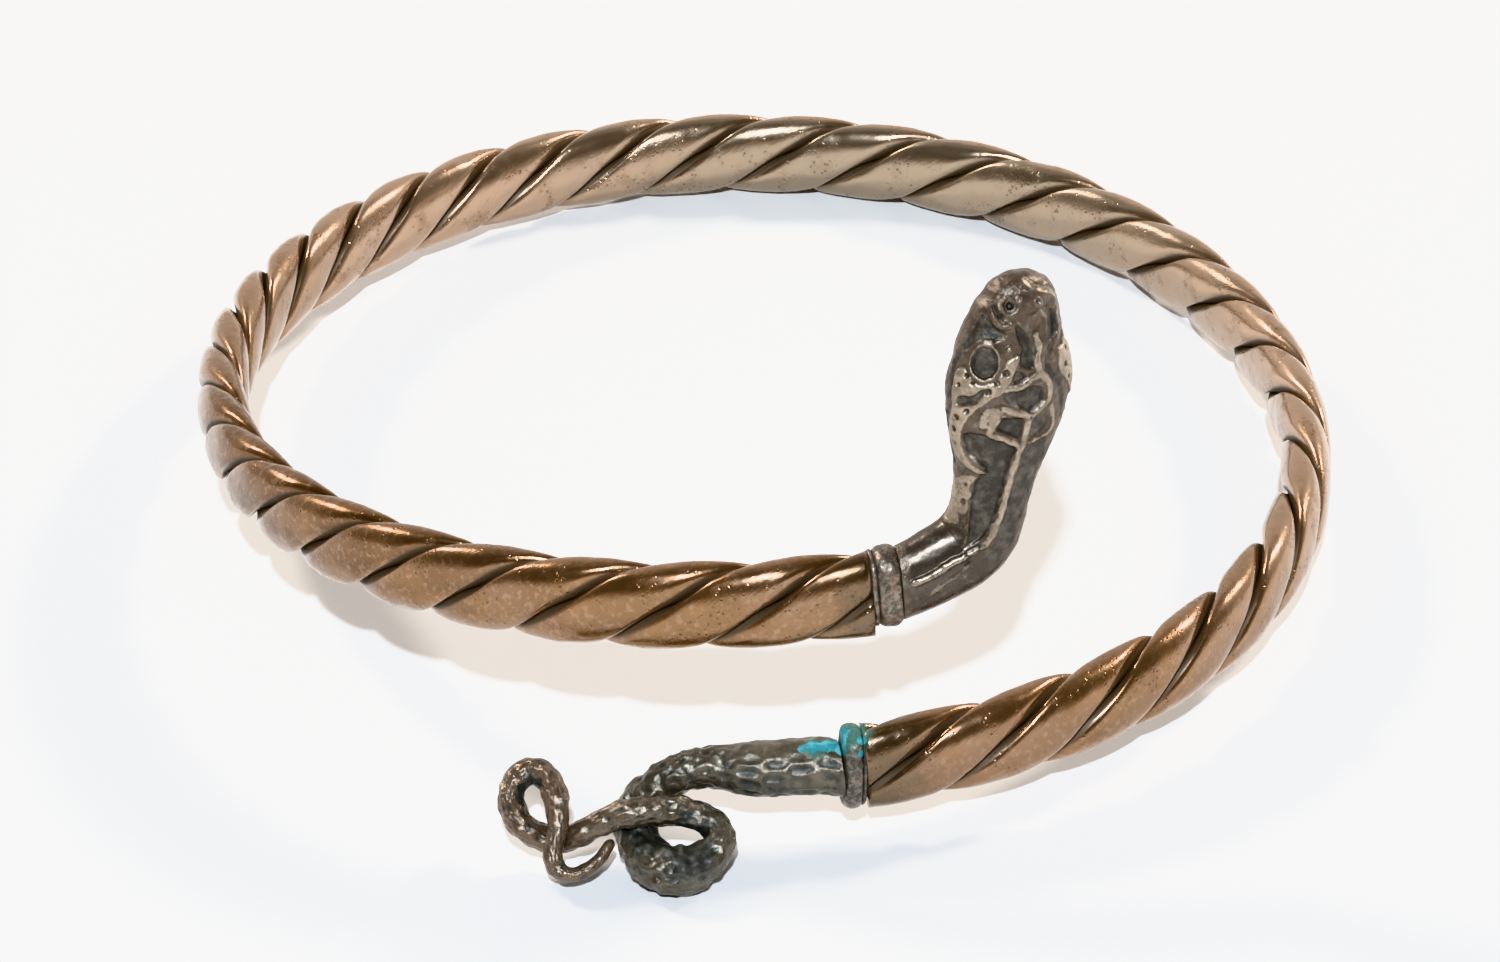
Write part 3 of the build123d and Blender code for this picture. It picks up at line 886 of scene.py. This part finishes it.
# %% The marks of the head
eye_size, eye_tall, nostril_size = 1.5, 1.25, 0.75
head_marks = [
    # hollow between the hook band and the ridge of the neck
    Cell(-0.20, -0.8, True, [(8.8, -62), (8.9, -46), (8.7, -14), (8.3, -4), (7.6, -6), (6.4, -9),
                             (5.4, -12), (4.4, -18), (3.5, -24), (2.9, -28), (3.6, -36),
                             (4.6, -44), (5.4, -52), (6.1, -52), (6.8, -44), (7.2, -36),
                             (7.7, -60), (8.4, -68)]),
    Cell(-0.05, -0.8, True, [(8.4, 12), (8.6, 30), (7.4, 44), (5.4, 40), (3.4, 30), (2.6, 12),
                             (4.4, 2), (6.2, 4)]),
    # dark lip and cheek
    Line(0.42, -0.12, -0.9, [(13.4, -74), (13.3, -80), (13.0, -84), (12.5, -91), (11.9, -90),
                             (11.1, -87), (10.4, -88), (9.4, -94), (8.5, -99), (7.7, -102),
                             (7.0, -94)]),
    Cell(-0.12, -0.65, True, [(14.6, -70), (14.3, -77), (13.5, -80), (13.0, -82), (13.3, -62),
                              (13.5, -50), (13.6, -34), (13.9, -28), (14.1, -40), (14.4, -54)]),
    # centre of the crown
    Cell(-0.16, -0.9, True, [(14.3, -18), (13.9, -4), (13.3, 4), (12.4, 5), (12.4, -5),
                             (12.9, -8), (13.3, -6), (13.6, -12)]),
    Cell(-0.12, -0.4, True, [(12.2, -14), (12.3, -8), (11.8, -1), (11.6, -8), (11.7, -14)]),
    # band that hooks round the eye, and the lip band of the other side
    Cell(0.10, 1.0, True, [(13.0, -10), (12.6, -12), (12.0, -16), (11.4, -22), (11.0, -30),
                           (10.6, -42), (10.0, -56), (9.2, -64), (8.5, -70), (7.8, -68),
                           (7.3, -56), (7.05, -42), (6.95, -34), (6.9, -46), (7.1, -66),
                           (7.6, -86), (8.4, -92), (9.3, -88), (10.3, -82), (11.2, -83),
                           (12.1, -83), (12.5, -72), (11.9, -58), (11.65, -46), (11.8, -36),
                           (12.3, -28), (12.8, -22)]),
    Cell(-0.06, -0.6, True, [(11.4, -42), (11.0, -54), (10.8, -72), (10.4, -74), (10.5, -60),
                             (10.7, -48)]),
    Cell(0.10, 0.9, True, [(13.6, 66), (13.0, 50), (12.7, 40), (11.9, 37), (11.2, 44), (10.7, 56),
                           (10.2, 70), (10.6, 84), (12.0, 80), (13.2, 78)]),
    Line(0.45, -0.10, -0.6, [(13.5, 34), (12.9, 26), (12.1, 22), (11.5, 28), (10.8, 36),
                             (10.3, 42), (9.6, 50)]),
    # ridges that part the plates of the crown
    Cell(0.06, 0.7, True, [(10.3, -42), (10.5, -20), (10.1, -6), (10.0, -24), (9.5, -32),
                           (9.3, -44)]),
    Line(0.38, 0.10, 0.95, [(13.8, 8), (13.3, 13), (12.6, 10), (12.0, 13)]),
    Line(0.40, 0.10, 0.9, [(12.0, 13), (11.7, 2), (11.45, -8), (11.4, -20)]),
    Line(0.40, 0.10, 0.9, [(12.0, 13), (11.5, 20), (10.9, 23), (10.5, 22), (10.2, 12)]),
    Line(0.40, 0.10, 0.9, [(10.4, -22), (10.25, -12), (9.95, 4), (9.5, 3), (8.8, 3), (8.4, 3)]),
    Line(0.32, 0.08, 0.8, [(10.2, 12), (9.9, 6)]),
    Line(0.26, 0.08, 0.7, [(10.3, 26), (9.5, 34), (8.9, 33), (8.7, 20), (8.5, 8)]),
    Line(0.36, 0.08, 0.85, [(9.9, -27), (9.4, -32), (8.95, -34), (8.75, -20), (8.4, -2)]),
    # sunken plates
    Cell(-0.18, -1.0, False, [(11.15, -11), (11.2, -2), (11.35, 4), (11.1, 16), (10.5, 17),
                              (10.3, 9), (10.1, 4), (10.35, -6), (10.7, -11)]),
    Cell(-0.08, -0.7, True, [(11.15, -12), (11.1, -22), (10.8, -22), (10.6, -12)]),
    Cell(-0.18, -1.0, False, [(9.95, -22), (9.85, -2), (8.75, -1), (8.95, -14), (9.3, -27)]),
    Cell(-0.05, -0.45, True, [(10.25, 20), (9.95, 11), (9.6, 7), (8.8, 9), (9.1, 22), (9.9, 25)]),
    # ridge down the neck and the lines at its foot
    Line(0.42, 0.16, 0.9, [(8.5, 2), (7.8, 0), (6.9, -2), (6.1, -2), (5.4, -4), (4.4, -8),
                           (3.8, -11)]),
    Line(0.28, 0.12, 0.5, [(3.8, -11), (3.3, -14), (2.8, -18)]),
    Line(0.46, 0.20, 0.75, [(2.8, -18), (2.4, -18), (1.9, -16), (1.3, -14), (0.8, -13)]),
    Dot(0.42, 0.14, 0.6, 0.6, -13),
    Line(0.30, 0.06, 0.3, [(2.8, -4), (2.3, 4), (1.7, 8), (1.2, 16)]),
    # light patch with a scalloped edge on the side of the neck
    Cell(0.04, 0.75, False, [(6.7, -66), (6.75, -46), (6.45, -54), (6.2, -57), (5.9, -53),
                             (5.7, -60), (5.4, -54), (5.1, -57), (5.0, -70), (4.6, -64),
                             (4.2, -72), (3.6, -74), (3.1, -90), (4.4, -100), (6.2, -100)]),
    # eye, nostrils and the folds of the snout
    Dot(eye_size + 0.60, 0.03, 0.0, 12.8, -46, eye_tall),
    Dot(eye_size + 0.20, 0.10, 0.6, 12.8, -46, eye_tall),
    Dot(eye_size, -0.15, -1.0, 12.8, -46, eye_tall),
    Dot(eye_size - 0.22, -0.10, -0.75, 12.8, -46, eye_tall),
    Cell(-0.22, -1.0, True, [(14.7, 34), (14.1, 25), (13.5, 27), (13.5, 36), (13.8, 46),
                             (14.4, 48)]),
    # painted highlight: the lip beside this sunken slot is painted bright for the shine along its
    # edge
    Line(0.22, 0.10, 0.9, [(14.6, 50), (14.0, 51), (13.5, 46)]),
    Line(0.50, 0.22, 0.25, [(15.3, -60), (14.85, -56), (14.45, -46), (14.2, -36), (14.25, -28)]),
    Line(0.60, 0.26, 0.25, [(15.7, -48), (15.3, -50), (14.95, -44)]),
    Dot(nostril_size, -0.10, -0.5, 15.25, -30, 1.2),
    Dot(nostril_size - 0.42, -0.32, -1.0, 15.25, -30, 1.2),
    Dot(0.55, 0.08, 0.0, 15.2, 14),
    Dot(0.30, -0.12, -0.9, 15.2, 14),
    Dot(0.34, 0.16, 0.6, 13.3, -22),
    # painted highlight: a sunken line on top of the snout, painted bright for the shine along it
    Line(0.34, -0.10, 0.9, [(17.1, 12), (16.3, 20), (15.9, 30), (15.3, 52), (15.0, 66)]),
    Line(0.22, 0.08, 0.5, [(14.6, 4), (14.8, 14), (14.5, 22)]),
    Line(0.24, 0.06, 0.2, [(16.2, -10), (15.9, 4), (16.1, 18)]),
    Dot(eye_size + 0.20, 0.10, 0.8, 12.8, 94),
    Dot(eye_size, -0.22, -1.0, 12.8, 94),
]
# small dots punched along the bands: place, turn and size
punched = [
    (12.3, -22, 0.33), (11.8, -30, 0.26), (11.3, -38, 0.26), (10.8, -50, 0.26),
    (10.2, -60, 0.24), (9.6, -74, 0.26), (8.9, -80, 0.26), (8.1, -82, 0.24),
    (11.75, -56, 0.18), (12.1, -66, 0.18), (11.5, -74, 0.18), (6.3, -64, 0.20),
    (5.6, -66, 0.20), (11.8, 50, 0.30), (11.1, 54, 0.20), (12.6, 58, 0.24),
    (13.4, 68, 0.20), (10.7, 68, 0.22),
]
head_marks += [Dot(1.25 * size, -0.05, -0.35, place, turn) for place, turn, size in punched]
print(len(head_marks), "marks on the head")


# %% Worn cast metal, filled with dark patina
olive_film = (0.15, 0.15, 0.125)
# the colour for creases is painted shade
smooth_dark, crease_painted_shade = (0.075, 0.064, 0.052), (0.028, 0.024, 0.019)
bare_copper = (0.22, 0.140, 0.095)


def cast_metal(name, base, worn, dark):
    """Metal whose relief is worn to one colour and whose hollows hold another.

    Painted shade darkens its creases and painted light brightens the edges of its ridges.
    """
    metal = Finish(name)
    shade = metal.attribute("shade")
    # painted shade in the relief's creases and, below 0, painted light on the edges of its ridges
    crease_shade_and_edge_light = metal.attribute("crease_shade_and_edge_light")
    cloud = metal.mottle(1.6, detail=4)
    patch = metal.mottle(0.7, detail=4, roughness=0.6)
    grain = metal.mottle(0.22, detail=4, roughness=0.7)
    fine = metal.mottle(0.10, detail=2)
    uneven = shade - 0.5 * crease_shade_and_edge_light + 1.7 * (grain - 0.5) + 1.9 * (patch - 0.5)
    bright = metal.step(uneven, 0.20, 0.90)
    hollow = metal.step(uneven, -0.15, -0.85)
    crease_shade = metal.step(crease_shade_and_edge_light, 0.20, 1.0)
    soft = metal.attribute("smooth")
    clouds = metal.blend(metal.step(cloud, 0.38, 0.62), base, shaded(base, 0.62))
    rubbed = metal.blend(metal.step(patch, 0.40, 0.60), worn, shaded(worn, 0.66))
    filled = metal.blend(metal.step(patch, 0.42, 0.62), dark, shaded(dark, 1.8))
    colour = metal.layered(clouds, [
        (0.7 * metal.step(patch, 0.52, 0.70), olive_film),
        (0.5 * metal.step(grain, 0.55, 0.75), shaded(base, 0.5)),
        (0.65 * soft, smooth_dark),
        (0.45 * metal.attribute("warm"), bare_copper),
        (bright, rubbed),
        (hollow, filled),
        # painted shade in the creases
        (0.55 * crease_shade, crease_painted_shade),
    ])
    rough = 0.32 + 0.08 * hollow + 0.20 * (grain - 0.4) + 0.10 * crease_shade
    rough = rough - 0.10 * metal.attribute("gloss")
    metallic = 0.62 - 0.25 * hollow + 0.2 * bright
    colour, rough, metallic = verdigris(metal, colour, rough, metallic)
    rugged = 1 - 0.95 * soft
    normal = metal.bump((0.5 * grain + 0.2 * fine + 0.7 * patch) * rugged, 0.07)
    return metal.surface(Base_Color=colour, Metallic=metallic, Roughness=rough, Normal=normal)


# %% Head piece
# reach and depth of the painted shade in creases and the painted light on ridges' edges
crease_shade_reach, crease_shade_depth = 0.55, 0.10
head_points, head_steps = 264, 348
nose_rows = 0.6  # rows over which the nose closes
casting_lumps = 0.05
neck_window = (0.3, 0.5, 4.6, 2.0)  # rows of the polished lower neck, with its soft edges
slope_step = 0.05  # rows over which the skin's slope is measured
head_base, head_worn = (0.138, 0.104, 0.078), (0.42, 0.342, 0.26)
head_dark = (0.045, 0.040, 0.032)


def make_head():
    mesh = tube(head_points, head_steps)
    reach, turn, rise = corners(mesh)
    share = turn / pi
    turns = 180 * share * (1 - head_crowding * (1 - share**2))
    places = rise * head_last
    points = head_skin(places, turns)
    height, shade, soft = (np.zeros(len(points)) for _ in range(3))
    wobble = roughen(points, 0.5, mark_wobble, seed=9, octaves=2)
    for mark in head_marks:
        inward = depth_in_mark(mark, points, places, turns) + wobble
        cover = smooth_step(inward / mark_edge + 0.5)
        crown = 0.5 + 0.5 * smooth_step(2 * inward / mark.width) if isinstance(mark, Line) else 1
        height += (mark.height * crown - height) * cover
        shade += (mark.shade - shade) * cover
        soft += (mark.height - soft) * smooth_step(inward / crease_shade_reach + 0.5)
    smooth = window(places, *neck_window)
    height = np.where(height < 0, height * (1 - 0.8 * smooth), height)
    height += roughen(points, 0.8, casting_lumps, seed=6) * (1 - 0.7 * smooth)
    way_on = head_skin(np.minimum(places + slope_step, head_last), turns)
    way_on -= head_skin(places - slope_step, turns)
    way_round = head_skin(places, turns + 1) - head_skin(places, turns - 1)
    normal = unit(np.cross(way_round, way_on))
    middle = head_middle_line(places)[0]
    end = np.clip((places - head_last + nose_rows) / nose_rows, 0, 1)
    closing = (reach * np.sqrt(1 - tip_closing * end**2))[:, None]
    points = middle + (points + normal * height[:, None] - middle) * closing
    print("normals point out:", float(np.mean(dot(normal, points - middle) > 0).round(3)))
    finish = cast_metal("cast_head", head_base, head_worn, head_dark)
    # painted shade where the skin lies below its blurred height beside a ridge, painted light where
    # it stands above it
    crease_shade_and_edge_light = np.clip((soft - height) / crease_shade_depth, -1, 1)
    shade = np.where(shade < 0, shade * (1 - 0.85 * smooth), shade)
    marks = {"shade": shade, "crease_shade_and_edge_light": crease_shade_and_edge_light, "smooth": smooth, "gloss": 0.6 * smooth,
             "warm": np.zeros(len(points))}
    return make_piece("cast_head", mesh, points, finish, ["head"], marks)


make_head()

# %% [markdown]
# ## The tail
#
# The tail curls in two loops and lies flat on the table in front of the ring, thinning to
# its tip. Its middle line was read from the photograph as shares of its reach.

# %% The smooth tail
tail_thickness, tail_reach, tail_sweep, tail_gap = 3.2, 19.2, 5.3, 0.12
# shares of the reach, the sweep and the thickness; lap is 1 above what it crosses, -1 below
TailRow = namedtuple("TailRow", "along down lap thick")
tail_rows = [
    (0.000, 0.00, 0.0, 1.02),
    (0.053, -0.03, 0.0, 1.00),
    (0.141, -0.02, 0.0, 0.98),
    (0.258, -0.01, 0.0, 0.96),
    (0.361, -0.03, 0.0, 0.76),
    (0.449, 0.00, 0.0, 0.70),
    (0.531, 0.11, -0.4, 0.70),
    (0.589, 0.23, -1.0, 0.70),
    (0.604, 0.42, -1.0, 0.72),
    (0.578, 0.71, -0.4, 0.78),
    (0.522, 0.90, 0.0, 0.84),
    (0.449, 0.91, 0.0, 0.83),
    (0.387, 0.80, 0.0, 0.67),
    (0.355, 0.65, 0.0, 0.58),
    (0.381, 0.49, 0.0, 0.54),
    (0.455, 0.40, 0.3, 0.53),
    (0.537, 0.41, 0.8, 0.52),
    (0.625, 0.44, 1.0, 0.51),
    (0.698, 0.49, 0.5, 0.46),
    (0.771, 0.57, -0.3, 0.44),
    (0.821, 0.59, -1.0, 0.44),
    (0.868, 0.58, -0.7, 0.47),
    (0.930, 0.49, 0.0, 0.47),
    (0.965, 0.28, 0.0, 0.46),
    (0.953, 0.09, 0.0, 0.46),
    (0.903, -0.02, 0.0, 0.47),
    (0.853, 0.09, 0.5, 0.47),
    (0.830, 0.30, 0.9, 0.44),
    (0.827, 0.56, 1.0, 0.36),
    (0.842, 0.77, 0.5, 0.35),
    (0.827, 0.90, 0.0, 0.33),
    (0.789, 0.95, 0.0, 0.27),
    (0.748, 0.91, 0.0, 0.24),
    (0.702, 0.79, 0.0, 0.22),
    (0.668, 0.63, 0.0, 0.18),
]
tail_last = len(tail_rows) - 1
tail_root = tail_seat - tail_along * tail_collar.length


def tail_middle_line(places, fall):
    """Middle of the tail and its thickness, on a slope that falls that many millimetres."""
    rows = TailRow._make(through(tail_rows, places).T[:, :, None])
    thickness = rows.thick * tail_thickness
    ways = np.array([[-tail_reach, 0, 0], [0, -tail_sweep, -fall]])
    over = unit(np.array([0, -fall, tail_sweep]))
    middle = tail_root + rows.along * ways[0] + rows.down * ways[1]
    return middle + over * (rows.lap * (thickness + tail_gap) / 2), thickness


def tail_skin(places, turns, fall):
    """Middle of the smooth tail, the way out to its skin at each turn, and its radius."""
    middle, thickness = tail_middle_line(places, fall)
    along = way_along(lambda at: tail_middle_line(at, fall), places, tail_last, -tail_along)
    over = flatten(np.array([0, -fall, tail_sweep]), along)
    outward = over * np.cos(turns)[:, None] + np.cross(along, over) * np.sin(turns)[:, None]
    return middle, outward, thickness / 2


# %% Let the curl down to the floor
floor_gap = 0.01
settling_rounds = 4
tail_points, tail_steps = 100, 648
tail_fall = tail_root[2]
settling_places, settling_turns = (grid.ravel() for grid in np.meshgrid(
    np.linspace(0, tail_last, 200), np.linspace(-pi, pi, 60)))
for _ in range(settling_rounds):
    middle, outward, radius = tail_skin(settling_places, settling_turns, tail_fall)
    lowest = (middle + outward * radius)[:, 2].min()
    tail_fall += (lowest - floor_gap) / max(row[1] for row in tail_rows)
print("the tail falls", round(tail_fall, 2), "mm from its root")


# %% [markdown]
# ## Scales of the tail
#
# The tail's scales are hollows punched in columns across it, each column half a scale out
# of step with the next, and they shrink as the tail thins. Where each hollow lies comes
# from two counts, one along the tail and one round it, so no hollow is placed by hand.

# %% Scale pattern
scale_length = 0.47  # of a column, as a share of the tail's thickness there
scales_round = 13
scale_depth = 0.056  # as a share of the tail's thickness there
bare_rows, bare_root = 1.5, 0.25  # rows without scales at the tip and the collar
jitter_seed = 7
hollow_length, hollow_width = 0.47, 0.44  # half a hollow, as shares of its column and row


def scale_columns(places):
    """How many columns of scales lie between the collar and each place."""
    fine = np.linspace(0, tail_last, 2000)
    middle, thickness = tail_middle_line(fine, tail_fall)
    steps = np.linalg.norm(np.diff(middle, axis=0), axis=1) / (thickness[1:, 0] * scale_length)
    return np.interp(places, fine, np.concatenate([[0], np.cumsum(steps)]))


def scale_hollows(places, turns):
    """How deep in a hollow each point is, from 0 to 1, and 1 on the rims between them."""
    columns = scale_columns(places)
    column = np.floor(columns).astype(int)
    rows = turns / (2 * pi) * scales_round + 0.5 * (column % 2)
    row = np.floor(rows).astype(int) % scales_round
    random = np.random.default_rng(jitter_seed)
    jitter = random.uniform(-1, 1, (column.max() + 1, scales_round, 3))
    shift_along, shift_across, size = jitter[column, row].T
    along = (columns - column - 0.5 - 0.06 * shift_along) / (hollow_length + 0.03 * size)
    across = (rows - np.floor(rows) - 0.5 - 0.06 * shift_across) / hollow_width
    gap = np.abs(along) ** 2.2 + np.abs(across) ** 1.7
    hollow = np.clip(1 - gap, 0, 1) ** 0.8 * (0.75 + 0.35 * size)
    return hollow, smooth_step((gap - 0.75) / 0.35)


print(int(scale_columns(tail_last)), "columns of scales")


# %% Tail piece
tip_share = 0.01
tail_lumps = 0.16
worn_from = 3.2  # row past which the scales are worn
# painted shade: the loops' insides, and the rows where the big loop lies over itself, are darkened
# where shade falls
shut_in_shade_window = (7, 1.5, 13, 1.5)  # rows of the big loop that lie over each other
inner_shade_from = 5  # row past which the loops' insides are dark
warm_from, warm_rows = 13, 8  # row where bare copper starts to show, and rows until it does
tail_base, tail_worn = (0.155, 0.135, 0.103), (0.29, 0.25, 0.195)
tail_dark = (0.050, 0.051, 0.044)


def make_tail():
    mesh = tube(tail_points, tail_steps)
    reach, turns, rise = corners(mesh)
    places = rise * tail_last
    middle, outward, radius = tail_skin(places, turns, tail_fall)
    hollow, rim = scale_hollows(places, turns)
    worn = smooth_step((places - worn_from) / 1.6)
    back = smooth_step((outward[:, 2] - 0.55) / 0.35)
    scaled = window(places, 0, bare_root, tail_last, bare_rows)
    scaled *= (1 - 0.45 * worn) * (1 - 0.75 * back * (1 - worn))
    lumps = roughen(middle + outward * radius, 0.55, tail_lumps, seed=8, octaves=1)
    lumps *= 0.6 + worn
    height = (0.35 - hollow) * scaled * scale_depth
    height += lumps * 0.30 * smooth_step(places / 0.3)
    end = np.clip((rise - 1 + tip_share) / tip_share, 0, 1)[:, None]
    closing = reach[:, None] * np.sqrt(1 - tip_closing * end**2)
    points = middle + outward * radius * (1 + 2 * height[:, None]) * closing
    points[:, 2] = np.maximum(points[:, 2], floor_gap)
    bend = tail_middle_line(np.minimum(places + 0.5, tail_last), tail_fall)[0]
    bend = bend + tail_middle_line(np.maximum(places - 0.5, 0), tail_fall)[0] - 2 * middle
    # painted shade on the loops' insides, stronger where the big loop lies over itself
    shut_in_shade = window(places, *shut_in_shade_window)
    inner_shade = smooth_step(5 * dot(outward, bend)[:, 0] - 0.3 + 1.3 * shut_in_shade)
    inner_shade *= smooth_step((places - inner_shade_from) / 2)
    shade = (0.10 * rim - hollow) * scaled + 2.0 * worn * lumps - 1.1 * inner_shade
    # painted shade in the scale hollows and on the loops' insides
    crease_shade_and_edge_light = np.clip(hollow * scaled * 0.55 + 0.8 * inner_shade, 0, 1)
    finish = cast_metal("cast_tail", tail_base, tail_worn, tail_dark)
    marks = {"shade": shade, "crease_shade_and_edge_light": crease_shade_and_edge_light, "smooth": np.zeros(len(points)),
             "gloss": worn - inner_shade,
             "warm": smooth_step((places - warm_from) / warm_rows) * (1 - inner_shade)}
    return make_piece("cast_tail", mesh, points, finish, ["tail"], marks)


make_tail()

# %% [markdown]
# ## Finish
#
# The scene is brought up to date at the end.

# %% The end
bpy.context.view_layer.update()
